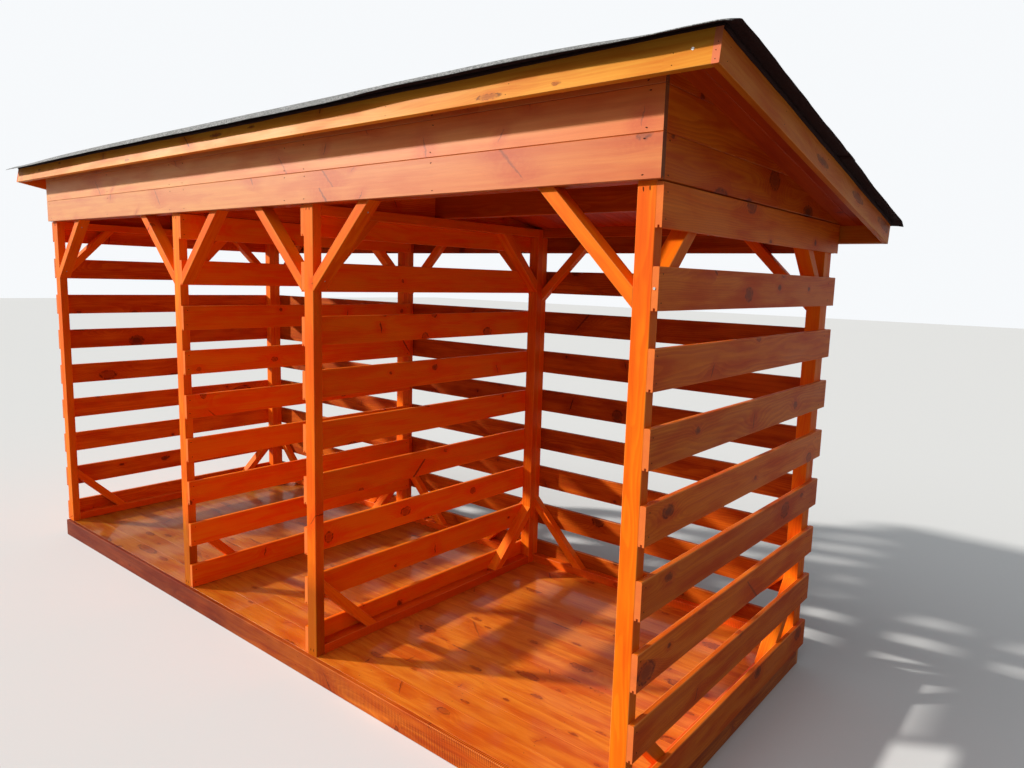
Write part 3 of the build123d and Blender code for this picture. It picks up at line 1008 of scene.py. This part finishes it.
# %% [markdown]
# ## Boarded faces
# Floor, header, gables, the boards over the divisions and the roof deck are tongued boards
# edge to edge. The floor's joints are tight, so their bevel is small. The row over the
# header and the gables ends on the roof's underside, and the last floor and roof boards
# are ripped to width.

# %% Floor, header, gables and roof deck
def boarded(origin, along, onward, length, width, finish, seed, cut_plane, **joint):
    """Tongued boards from an origin, cut by a plane."""
    count = ceil(width / (COVER * MM) - 0.01)
    values = {"Length": length, "Count": count, "Pitch": COVER * MM, "Play along": 0.0,
              "Play across": 0.0, "Seed": seed}
    start = origin + onward * (COVER * MM / 2)
    mesh = lay_row(tongue_section(**joint), values, start, along, onward, finish)
    cut(mesh, *cut_plane)
    mesh.attributes["arris"].data.foreach_set("value", [0.0] * len(mesh.polygons))
    print(count, "boards,", len(mesh.polygons), "faces")
    return mesh


def laid(node, mesh, finish):
    """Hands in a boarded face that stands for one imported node."""
    finished(mesh, f"{node}_laid", finish, [node])


roof_cut = (on_roof(0, 0, 0), roof_up)
header_low, header_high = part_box("header_boards")
laid("floor_boards", boarded(
    Vector((-half_length, front, floor_top - board / 2)), X, Y, 2 * half_length,
    base_back - front, floor_finish, 21, (Vector((0, base_back, 0)), Y), bevel=0.3, gap=0.5),
    floor_finish)
laid("header_boards", boarded(
    Vector((header_low.x, front - board / 2, post_top)), X, Z, header_high.x - header_low.x,
    header_high.z - post_top, header_painted_light_finish, 22, roof_cut), header_painted_light_finish)

gable_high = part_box("gable_right")[1].z - post_top
gable_x = half_length + board / 2
for node, x, y, along, seed in (("gable_right", gable_x, front, Y, 23),
                                ("gable_left", -gable_x, wall_back, -Y, 24)):
    laid(node, boarded(Vector((x, y, post_top)), along, Z, wall_back - front, gable_high,
                       wall_finish, seed, roof_cut), wall_finish)

infill_low, infill_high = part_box("division_infill")
purlin_low, purlin_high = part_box("middle_purlin")
bm = bmesh.new()
for x, along, seed in ((infill_low.x + board / 2, Y, 25), (infill_high.x - board / 2, -Y, 26)):
    for low, high in ((infill_low.y, purlin_low.y), (purlin_high.y, infill_high.y)):
        start = Vector((x, low if along.y > 0 else high, post_top))
        bm.from_mesh(boarded(start, along, Z, high - low, gable_high, wall_finish, seed, roof_cut))
laid("division_infill", mesh_from(bm, "division_infill_laid"), wall_finish)

laid("roof_boards", boarded(
    on_roof(-verge_inside, slope_start, board / 2), downhill, X, slope_end - slope_start,
    2 * verge_inside, deck_finish, 27, (Vector((verge_inside, 0, 0)), X)),
    deck_finish)

# %% [markdown]
# ## Brads, screws and felt nails
# A fixing is one small head, repeated a few hundred times on the faces that it holds. The
# points come from the boards' own lines: two brads where a slat crosses a post, two to a
# board on each stud or joist. One tree turns a head to its face, spins it a little and
# writes its finish. A head is only a few dozen faces: a disc with a sunk middle.

# %% Geometry Nodes tree: fixing heads
head_tree, given, out = new_group(
    "fixing heads",
    "GeometryNodeTree",
    {
        "Points": (GEOMETRY, None),
        "Sides": (WHOLE, 10),
        "Radius": (FLOAT, 0.002),
        "Rise": (FLOAT, 0.0004),
        "Recess share": (FLOAT, 0.6),
        "Recess depth": (FLOAT, 0.0003),
        "Oblong": (FLOAT, 1.0),
        "Seed": (WHOLE, 1),
        "Finish": (MATERIAL, None),
    },
    {"Heads": GEOMETRY},
)
on_head = partial(add_node, head_tree)

disc = on_head("GeometryNodeMeshCircle", {"Vertices": given["Sides"], "Radius": given["Radius"]},
               fill_type="NGON")[0]
lifted = on_head("GeometryNodeExtrudeMesh", {"Mesh": disc, "Offset Scale": given["Rise"]},
                 mode="FACES")
inner = on_head("GeometryNodeExtrudeMesh", {"Mesh": lifted["Mesh"], "Selection": lifted["Top"],
                "Offset Scale": 0.0}, mode="FACES")
recess = on_head("GeometryNodeScaleElements", {"Geometry": inner["Mesh"],
                 "Selection": inner["Top"], "Scale": given["Recess share"]}, domain="FACE")[0]
sunk = on_head("GeometryNodeExtrudeMesh", {"Mesh": recess, "Selection": inner["Top"],
               "Offset Scale": given["Recess depth"] * -1.0}, mode="FACES")["Mesh"]
underside = on_head("GeometryNodeFlipFaces", {"Mesh": disc})[0]
whole = on_head("GeometryNodeJoinGeometry", {0: [sunk, underside]})[0]
whole = on_head("GeometryNodeMergeByDistance", {"Geometry": whole, "Distance": 0.001 * MM})[0]

face_way, row_way = (on_head("GeometryNodeInputNamedAttribute", {"Name": label},
                             data_type="FLOAT_VECTOR")[0] for label in ("facing", "grain"))
turned = on_head("FunctionNodeAlignRotationToVector", {"Vector": face_way}, axis="Z")[0]
turned = on_head("FunctionNodeAlignRotationToVector", {"Rotation": turned, "Vector": row_way},
                 axis="X", pivot_axis="Z")[0]
spin = on_head("FunctionNodeRandomValue", {0: (0.0, 0.0, -0.4), 1: (0.0, 0.0, 0.4),
               "Seed": given["Seed"]}, data_type="FLOAT_VECTOR")[0]
spin = on_head("FunctionNodeEulerToRotation", {0: spin})[0]
turned = on_head("FunctionNodeRotateRotation", {"Rotation": turned, "Rotate By": spin},
                 rotation_space="LOCAL")[0]
points = on_head("GeometryNodeMeshToPoints", {"Mesh": given["Points"]})[0]
heads = on_head("GeometryNodeInstanceOnPoints", {"Points": points, "Instance": whole,
                "Rotation": turned, "Scale": vector(given["Oblong"], 1.0, 1.0)})[0]
heads = on_head("GeometryNodeRealizeInstances", {0: heads})[0]
send(out, {"Heads": on_head("GeometryNodeSetMaterial", {"Geometry": heads,
                            "Material": given["Finish"]})[0]})
print("fixing heads tree:", len(head_tree.nodes), "nodes")

# %% Brads in the slats
BRAD_ASIDE = 34 * MM

brad_values = {"Sides": 8, "Radius": 1.6 * MM, "Rise": 0.35 * MM, "Recess share": 0.6,
               "Recess depth": 0.25 * MM, "Oblong": 1.6, "Seed": 31}


def heads_at(name, places, values, finish):
    """Heads at (point, facing, grain) places, as one piece."""
    mesh = bpy.data.meshes.new("points")
    mesh.from_pydata([place[0] for place in places], [], [])
    for label, index in (("facing", 1), ("grain", 2)):
        layer = mesh.attributes.new(label, "FLOAT_VECTOR", "POINT")
        for k, place in enumerate(places):
            layer.data[k].vector = place[index]
    made = run_tree(head_tree, mesh, {**values, "Finish": finish})
    print(name, len(places), "heads", len(made.polygons), "faces")
    finished(made, name, finish, [])


def miss(size=4):
    """How far a fixing misses its mark, up to a size in millimetres."""
    return seeds.uniform(-size * MM, size * MM)


posts_y = (front + post_depth / 2, frame_back - post_depth / 2)
slat_middles = [first_slat + k * slat_pitch for k in range(SLAT_COUNT)]
brads = []
for x_face, way in ((half_length + board, 1), (-half_length - board, -1),
                    (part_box("slats_division_right")[0].x, -1),
                    (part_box("slats_division_left")[1].x, 1)):
    for z in slat_middles:
        for y in posts_y:
            for side in (-BRAD_ASIDE, BRAD_ASIDE):
                brads.append((Vector((x_face, y + miss(), z + side + miss())), X * way, Y))
for z in slat_middles:
    for x in post_middles:
        for side in (-BRAD_ASIDE, BRAD_ASIDE):
            height = z + side + miss()
            brads.append((Vector((x + miss(6), wall_back, height)), Y, X))
heads_at("slat_brads", brads, brad_values, brad_finish)

# %% Brads in the header, the gables, the floor and the rim
STUD_STEP = 0.792
JOIST_STEP = 0.3885
RIM_STEP = 0.2135
HEADER_TOP = 276.0
FROM_LOWER, FROM_UPPER = 14.0, 16.0

header_brads = []
for x in sorted(post_middles + [step * STUD_STEP for step in (-1.5, -0.5, 0.5, 1.5)]):
    for low, high in ((0.0, COVER), (COVER, 2 * COVER), (2 * COVER, HEADER_TOP)):
        for z in (low + FROM_LOWER, high - FROM_UPPER):
            place = Vector((x + miss(8), front - board, post_top + z * MM + miss(3)))
            header_brads.append((place, -Y, X))
for way in (1, -1):
    for y in (*posts_y, frame_back + 20 * MM):
        for z in (FROM_LOWER, COVER - FROM_UPPER):
            place = Vector((way * (half_length + board), y + miss(), post_top + z * MM + miss(3)))
            if place.dot(roof_up) < roof_under - 10 * MM:
                header_brads.append((place, X * way, Y))
heads_at("header_brads", header_brads, brad_values | {"Oblong": 2.2, "Seed": 32}, brad_finish)

floor_brads = []
for k in range(-4, 5):
    y = front + 20 * MM
    while y < frame_back:
        for side in (7 * MM, 67 * MM):
            place = Vector((k * JOIST_STEP + miss(6), y + side + miss(), floor_top))
            floor_brads.append((place, Z, X))
        y += COVER * MM
for k in range(-9, 10):
    for z in (28 * MM, 72 * MM):
        floor_brads.append((Vector((k * RIM_STEP + miss(10), front - board, z + miss())), -Y, X))
heads_at("floor_brads", floor_brads, brad_values | {"Radius": 1.2 * MM, "Seed": 33}, brad_finish)

# %% [markdown]
# ## Nails in the posts and bright screws
# The pair of nails at each post's head holds the plate. The edge boards are nailed twice at
# every half metre, and a few bright screws were driven later, after staining.

# %% Post nails and edge-board nails
FASCIA_STEP = 0.5
VERGE_STEP = 0.38

post_nails = []
for x in post_middles:
    for side in (-11 * MM, 8 * MM):
        for z, off in ((post_top - 18 * MM, 3), (floor_top + 22 * MM, 4)):
            post_nails.append((Vector((x + side, front, z + miss(off))), -Y, Z))
heads_at("post_nails", post_nails, brad_values | {"Oblong": 4.0, "Seed": 34}, brad_finish)

verge_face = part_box("verge_right")[1].x
fascia_start = min(v.co.dot(downhill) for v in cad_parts["fascia_front"].data.vertices)
edge_nails = []
for k in range(9):
    x = (k - 4) * FASCIA_STEP + 70 * MM
    for deep in (50 * MM, 78 * MM):
        edge_nails.append((on_roof(x + miss(10), fascia_start, board - deep), -downhill, X))
for way in (1, -1):
    for deep in (42 * MM, 60 * MM, 80 * MM):
        x = way * (verge_face - board / 2) + miss(3)
        edge_nails.append((on_roof(x, fascia_start, board - deep), -downhill, roof_up))
    for k in range(5):
        for deep in (35 * MM, 70 * MM):
            along = fascia_start + 50 * MM + k * VERGE_STEP + miss(10)
            edge_nails.append((on_roof(way * verge_face, along, board - deep), X * way, downhill))
heads_at("edge_nails", edge_nails, brad_values | {"Radius": 1.1 * MM, "Oblong": 1.3, "Seed": 37},
         brad_finish)

# %% Bright screws
screws = [(on_roof(2.11, fascia_start, board - 48 * MM), -downhill, X),
          (Vector((half_length + board / 2 - 2 * MM, front, slat_middles[7])), -Y, Z)]
braces_low, braces_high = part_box("front_knee_braces")
reach = post_top - braces_low.z
middle_y = (braces_low.y + braces_high.y) / 2
for post, way in ((0, 1), (1, -1), (1, 1), (2, -1), (2, 1), (3, -1)):
    inner = post_middles[post] + way * post_width / 2
    for share in (0.12, 0.88):
        place = Vector((inner + way * reach * share, middle_y + miss(),
                        post_top - reach * (1 - share)))
        screws.append((place, Vector((way, 0, -1)).normalized(), Y))
heads_at("bright_screws", screws, {"Sides": 14, "Radius": 3.6 * MM, "Rise": 0.8 * MM,
         "Recess share": 0.5, "Recess depth": 0.6 * MM, "Oblong": 1.0, "Seed": 35},
         screw_finish)

# %% [markdown]
# ## Roofing felt
# Strips of felt are folded down over the edge boards first. Two wide sheets follow, laid
# along the roof, the upper one over the lower one. They pass all four edges, and the front
# edge droops. Stiff sheet never lies dead flat: it lifts between its nails, ripples past
# the edges, and its cut edge wavers. A grid with a rule for its height gives all of that,
# where a cloth simulation would let it hang like fabric.

# %% Measures of the felt
SHEET_THICK = 2.6 * MM
STRIP_HALF = 1.3 * MM
LOWER_SHEET = 1.0
LAP = 50 * MM
NOWHERE = 9.0

felt_corners = [v.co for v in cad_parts["roofing_felt"].data.vertices]
felt_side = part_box("roofing_felt")[1].x
felt_start = min(v.dot(downhill) for v in felt_corners)
felt_end = max(v.dot(downhill) for v in felt_corners)
fold = roof_over - min(v.dot(roof_up) for v in felt_corners)
verge_alongs = [v.co.dot(downhill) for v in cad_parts["verge_right"].data.vertices]
edge_start, edge_end = min(verge_alongs), max(verge_alongs)
verge_outside = verge_inside + board
lap_at = felt_start + LOWER_SHEET
print("felt fold:", round(fold, 4), "past the front:", round(edge_start - felt_start, 4))


def waver(x, phase, steps=((2.3, 0.5), (5.9, 0.3), (13.7, 0.2))):
    """A gentle, never repeating wave between -1 and 1."""
    return sum(share * sin(rate * x + phase * (k + 1)) for k, (rate, share) in enumerate(steps))


def eased(value):
    """Goes smoothly from 0 to 1."""
    value = max(0.0, min(1.0, value))
    return value * value * (3 - 2 * value)


def sheet_height(x, along, raised):
    """How high a sheet's middle lies over the deck, at a place on the roof."""
    past = max(0.0, abs(x) - verge_outside) / (felt_side - verge_outside)
    ahead = min(1.0, max(0.0, edge_start - along) / (edge_start - felt_start - 5 * MM))
    behind = max(0.0, along - edge_end) / (felt_end - edge_end)
    bend = 1.3 + 6.7 * eased((2.05 - x) / 0.6) * eased((x + 2.1) / 1.4)
    droop = (27 - 9 * eased((x - 0.85) / 0.3) + 5 * eased((x - 1.6) / 0.4)
             + 6 * eased((-1.2 - x) / 0.8) + 1.5 * waver(x * 1.6, 0.9)) * MM * ahead ** bend
    sag = (4 + 5 * waver(along * 1.5, 0.7 if x > 0 else 2.1)) * MM * past * past
    sag += (14 + 3 * waver(x * 2.0, 1.3)) * MM * behind ** 1.5
    lift = 0.5 * MM * (waver(x * 1.7, 0.4) * waver(along * 3.1, 1.9) - 1.0)
    return SHEET_THICK / 2 + 0.6 * MM + raised + lift - droop - sag


def front_fold(x):
    """How far down the front strip is folded."""
    short = 3 + 6 * eased((x - 1.3) / 0.8) - 5 * eased(1 - abs(x - 0.2) / 0.6)
    return fold - (short + 1.5 * (1 + waver(x * 2.0, 0.5))) * MM


# %% Sheets and strips as closed grids
SHEET_STEPS = 260
STRIP_STEPS = 80


def closed_grid(bm, rows, half):
    """A sheet of even thickness round rows of (point, normal)."""
    grids = [[[bm.verts.new(p + n * way * half) for p, n in row] for row in rows]
             for way in (1, -1)]
    top, under = grids
    last, end = len(rows) - 1, len(rows[0]) - 1
    for i in range(last):
        for j in range(end):
            for grid in grids:
                bm.faces.new((grid[i][j], grid[i][j + 1], grid[i + 1][j + 1], grid[i + 1][j]))
        for j in (0, end):
            bm.faces.new((top[i][j], top[i + 1][j], under[i + 1][j], under[i][j]))
    for j in range(end):
        for i in (0, last):
            bm.faces.new((top[i][j], top[i][j + 1], under[i][j + 1], under[i][j]))


def sheet_rows(start, end, raised_from, count):
    """Rows of a sheet from one end to the other; it rises over what lies under its end."""
    rows = []
    for i in range(count + 1):
        along = start + (end - start) * i / count
        raised = SHEET_THICK * eased((along - raised_from) / LAP)
        edge = 2.0 * MM * (1 + waver(along * 9.0, 0.3)) / 2
        row = []
        for j in range(SHEET_STEPS + 1):
            x = (felt_side - edge) * (2 * j / SHEET_STEPS - 1)
            here = along
            if i == 0:
                here += 1.5 * MM * (1 + waver(x * 3.0, 2.2)) / 2
            row.append((on_roof(x, here, board + sheet_height(x, here, raised)), roof_up))
        rows.append(row)
    return rows


def add_strip(bm, places, facing):
    """A strip over an edge board, folded down at places given as (x, along, fold)."""
    rows = [[(on_roof(x, along, board - deep * share), facing) for share in (0.0, 0.5, 1.0)]
            for x, along, deep in places]
    closed_grid(bm, rows, STRIP_HALF)


bm = bmesh.new()
closed_grid(bm, sheet_rows(felt_start + 3.5 * MM, edge_start + 30 * MM, NOWHERE, 36)[:-1]
            + sheet_rows(edge_start + 30 * MM, lap_at, lap_at - 110 * MM, 26), SHEET_THICK / 2)
closed_grid(bm, sheet_rows(lap_at - LAP, felt_end - 1.5 * MM, NOWHERE, 26), SHEET_THICK / 2)

off_board = STRIP_HALF + 0.2 * MM
verge_steps = [edge_start + (edge_end - edge_start) * i / STRIP_STEPS
               for i in range(STRIP_STEPS + 1)]
for way in (-1, 1):
    add_strip(bm, [(way * (verge_outside + off_board), along,
                    fold - 3 * MM + 1.5 * MM * waver(along * 5.0, 1.1)) for along in verge_steps],
              X * way)
front_steps = [(verge_outside + 2 * MM) * (i / STRIP_STEPS - 1) for i in range(2 * STRIP_STEPS + 1)]
add_strip(bm, [(x, edge_start - off_board, front_fold(x)) for x in front_steps], -downhill)
bmesh.ops.recalc_face_normals(bm, faces=bm.faces)

felt_mesh = mesh_from(bm, "roofing_felt_sheets")
upper = felt_mesh.attributes.new("upper", "FLOAT", "FACE")
for face in felt_mesh.polygons:
    face.use_smooth = True
    ahead = face.center.dot(downhill) < edge_start - 30 * MM
    cut_edge = ahead and face.normal.dot(downhill) < -0.8
    upper.data[face.index].value = 1.0 if face.normal.dot(roof_up) > 0.15 or cut_edge else 0.0
finished(felt_mesh, "roofing_felt_sheets", felt_finish, ["roofing_felt"])
print("felt faces:", len(felt_mesh.polygons))

# %% Felt nails
nail_line = verge_outside - 12 * MM
felt_nails = []


def felt_nail(x, along, raised, x_off, along_off=0.0):
    """A nail on the felt at a place on the roof."""
    height = board + sheet_height(x, along, raised) + SHEET_THICK / 2
    felt_nails.append((on_roof(x + x_off, along + along_off, height), roof_up, X))


for k in range(-14, 15):
    for along, raised in ((edge_start + 14 * MM, 0.0), (lap_at - 40 * MM, SHEET_THICK),
                          (edge_end - 14 * MM, 0.0)):
        felt_nail(k / 14 * nail_line, along, raised, miss(12), miss())
for way in (-1, 1):
    for k in range(1, 11):
        along = edge_start + (edge_end - edge_start) * k / 11
        if abs(along - lap_at) >= 0.1:
            felt_nail(way * nail_line, along, 0.0, miss(3))
heads_at("felt_nails", felt_nails, {"Sides": 12, "Radius": 4.5 * MM, "Rise": 0.6 * MM,
         "Recess share": 0.7, "Recess depth": 0.1 * MM, "Oblong": 1.0, "Seed": 36},
         nail_finish)

# %% [markdown]
# ## Studio
# A pale floor, one low lamp from the open front's left and a broad, soft one give the light
# of the photograph: bright fronts and warm, shaded sides. The floor looks pale to the
# camera and in reflections, and dark to all other rays, so that it throws little light back
# up under the roof.

# %% Floor, lamps and sky
def seen_or_lit(tree, lit, seen, output):
    """Ends a tree with one shader for the camera and reflections and one for other rays."""
    rays = add_node(tree, "ShaderNodeLightPath")
    mirrored = reckon("MAXIMUM", rays["Is Glossy Ray"], rays["Is Transmission Ray"])
    share = reckon("MAXIMUM", rays["Is Camera Ray"], mirrored)
    both = add_node(tree, "ShaderNodeMixShader", {0: share, 1: lit, 2: seen})[0]
    add_node(tree, output, {"Surface": both})


floor_material, tree = new_material("studio_floor")
dim, pale = (add_node(tree, "ShaderNodeBsdfDiffuse", {"Color": colour})[0]
             for colour in ((0.22, 0.21, 0.19, 1), (0.74, 0.74, 0.73, 1)))
seen_or_lit(tree, dim, pale, "ShaderNodeOutputMaterial")

bm = bmesh.new()
bmesh.ops.create_grid(bm, x_segments=8, y_segments=8, size=40.0)
floor_sheet = mesh_from(bm, "studio_floor")
floor_sheet.materials.append(floor_material)
studio_floor = bpy.data.objects.new("studio_floor", floor_sheet)
bpy.context.scene.collection.objects.link(studio_floor)
studio_floor.location.z = -0.5 * MM

world = bpy.data.worlds.new("studio_sky")
bpy.context.scene.world = world
world.use_nodes = True
tree = world.node_tree
tree.nodes.clear()
sky, white = (add_node(tree, "ShaderNodeBackground", {"Color": colour, "Strength": strength})[0]
              for colour, strength in (((0.88, 0.94, 1.0, 1), 0.225), ((0.93, 0.95, 0.97, 1), 1.0)))
seen_or_lit(tree, sky, white, "ShaderNodeOutputWorld")


def far_lamp(name, energy, colour, softness, bearing, height):
    """A lamp so far away that its rays are parallel. Its angles are in degrees, and bearing
    counts from the open front to the left."""
    data = bpy.data.lights.new(name, "SUN")
    data.energy, data.color, data.angle = energy, colour, radians(softness)
    lamp = bpy.data.objects.new(name, data)
    bearing, height = radians(bearing), radians(height)
    toward = Vector((-sin(bearing) * cos(height), -cos(bearing) * cos(height), sin(height)))
    lamp.rotation_mode = "QUATERNION"
    lamp.rotation_quaternion = toward.to_track_quat("Z", "Y")
    lamp.location = toward * 8
    bpy.context.scene.collection.objects.link(lamp)


far_lamp("studio_key", 5.0, (1.0, 0.97, 0.92), 2.2, 59, 22)
far_lamp("studio_fill", 1.1, (0.96, 0.98, 1.0), 60, 20, 48)
bpy.context.scene.view_settings.view_transform = "Standard"
print("studio ready")
